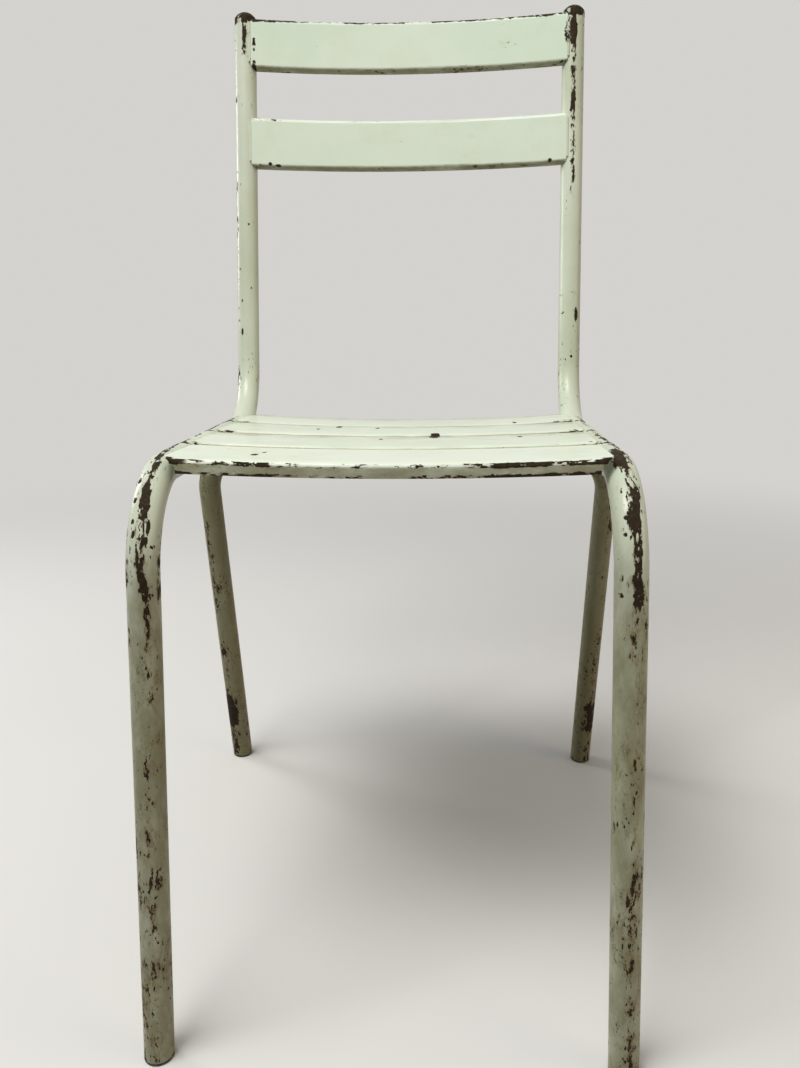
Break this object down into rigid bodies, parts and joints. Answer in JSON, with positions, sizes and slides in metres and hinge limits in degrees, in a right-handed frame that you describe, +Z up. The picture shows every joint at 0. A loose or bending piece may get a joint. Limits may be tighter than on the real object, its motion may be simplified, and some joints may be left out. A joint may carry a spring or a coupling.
{
  "type": "stacking chair",
  "caption": "Stacking chair with a welded frame of bent round tube, a hooped rear leg frame, a dished seat of cross slats and a curved slatted back, in worn pale green enamel.",
  "frame": {"origin": "on the floor, in the middle of the chair's box", "axes": "+Z up, the sitter faces -Y, +X to the right as seen from the front"},
  "size_m": [0.427, 0.5236, 0.8155],
  "materials": {
    "frame_enamel": "old gloss enamel, chipped, with rust",
    "slat_enamel": "old gloss enamel, chipped at the edges, with rust",
    "weld_enamel": "painted over, with rust",
    "cap_steel": "rusted through its paint",
    "foot_rubber": "dull, dusty"
  },
  "bodies": {
    "root": {"rear_leg_hoop": "frame_enamel", "seat_slat_front": "slat_enamel", "seat_slat_second": "slat_enamel", "seat_slat_third": "slat_enamel", "seat_slat_rear": "slat_enamel", "back_slat_upper": "slat_enamel", "back_slat_lower": "slat_enamel", "side_tube_left": "frame_enamel", "side_tube_right": "frame_enamel", "upright_cap_left": "cap_steel", "upright_cap_right": "cap_steel", "foot_plug_front_left": "foot_rubber", "foot_plug_front_right": "foot_rubber", "foot_plug_rear_left": "foot_rubber", "foot_plug_rear_right": "foot_rubber", "hoop_weld_left": "weld_enamel", "hoop_weld_right": "weld_enamel", "seat_weld_front_left": "weld_enamel", "seat_weld_front_right": "weld_enamel", "seat_weld_second_left": "weld_enamel", "seat_weld_second_right": "weld_enamel", "seat_weld_third_left": "weld_enamel", "seat_weld_third_right": "weld_enamel", "seat_weld_rear_left": "weld_enamel", "seat_weld_rear_right": "weld_enamel", "back_weld_upper_left": "weld_enamel", "back_weld_upper_right": "weld_enamel", "back_weld_lower_left": "weld_enamel", "back_weld_lower_right": "weld_enamel"}
  },
  "joints": []
}
